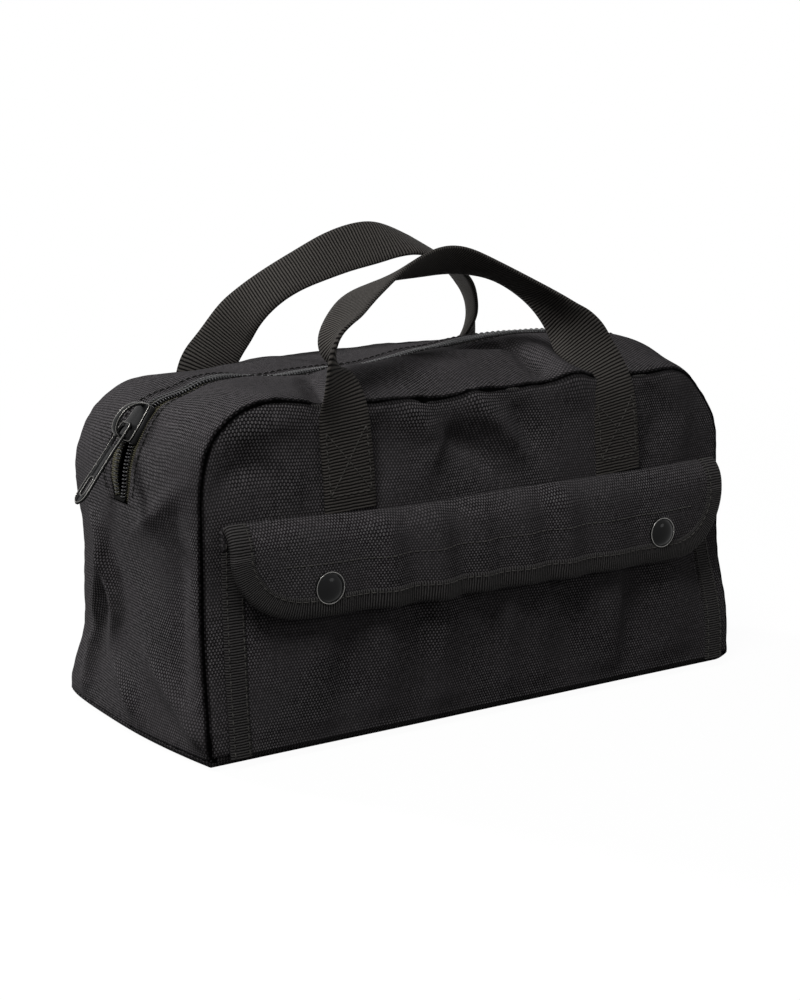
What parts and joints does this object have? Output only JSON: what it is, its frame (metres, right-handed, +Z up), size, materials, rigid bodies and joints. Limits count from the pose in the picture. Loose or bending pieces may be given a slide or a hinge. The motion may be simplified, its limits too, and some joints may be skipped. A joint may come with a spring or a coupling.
{
  "type": "tool bag",
  "caption": "Soft canvas tool bag with a zipped rounded top, webbing handles, and a front row of tool slots under a snap-down flap.",
  "frame": {"origin": "middle of the underside, on the surface the bag stands on", "axes": "+X towards the right end as seen from the front, -Y towards the front with the tool pocket, +Z up"},
  "size_m": [0.3102, 0.1479, 0.2102],
  "materials": {
    "canvas": "matte",
    "webbing": "matte",
    "binding": "matte",
    "zip_tape": "matte",
    "thread": "satin",
    "zip_coil": "gloss",
    "black_metal": "gloss",
    "black_enamel": "gloss",
    "snap_metal": "satin"
  },
  "bodies": {
    "bag": {"front_panel": "canvas", "back_panel": "canvas", "bottom_panel": "canvas", "left_end_panel": "canvas", "right_end_panel": "canvas", "front_zip_gusset": "canvas", "back_zip_gusset": "canvas", "front_zip_tape": "zip_tape", "back_zip_tape": "zip_tape", "front_zip_coil": "zip_coil", "back_zip_coil": "zip_coil", "zip_end_tacks": "thread", "front_seam_binding": "binding", "back_seam_binding": "binding", "front_left_anchor": "webbing", "front_right_anchor": "webbing", "back_left_anchor": "webbing", "back_right_anchor": "webbing", "tool_pocket": "canvas", "pocket_mouth_binding": "binding", "pocket_left_binding": "binding", "pocket_right_binding": "binding", "flap_hem": "canvas", "snap_studs": "snap_metal", "snap_posts": "snap_metal"},
    "flap": {"pocket_flap": "canvas", "flap_binding": "binding", "snap_caps": "black_enamel", "snap_sockets": "snap_metal"},
    "front_handle": {"front_handle": "webbing"},
    "back_handle": {"back_handle": "webbing"},
    "zip_slider": {"slider_body": "black_metal", "slider_bridge": "black_metal"},
    "pull_tab": {"pull_tab": "black_metal"}
  },
  "joints": [
    {"name": "flap_fold", "type": "hinge", "parent": "bag", "child": "flap", "pos_m": [0, -0.0676, 0.0996], "axis": [-1, 0, 0], "range_deg": [0, 110]},
    {"name": "front_handle_swing", "type": "hinge", "parent": "bag", "child": "front_handle", "pos_m": [0, -0.0677, 0.1483], "axis": [1, 0, 0], "range_deg": [-30, 124]},
    {"name": "back_handle_swing", "type": "hinge", "parent": "bag", "child": "back_handle", "pos_m": [0, 0.0677, 0.1483], "axis": [-1, 0, 0], "range_deg": [-30, 170]},
    {"name": "slider_travel", "type": "hinge", "parent": "bag", "child": "zip_slider", "pos_m": [-0.102, 0, 0.109], "axis": [0, 1, 0], "range_deg": [-28, 36], "deforming": ["front_zip_coil", "back_zip_coil"]},
    {"name": "pull_tab_swing", "type": "hinge", "parent": "zip_slider", "child": "pull_tab", "pos_m": [-0.13868, 0, 0.13766], "axis": [0, 1, 0], "range_deg": [0, 165]}
  ]
}
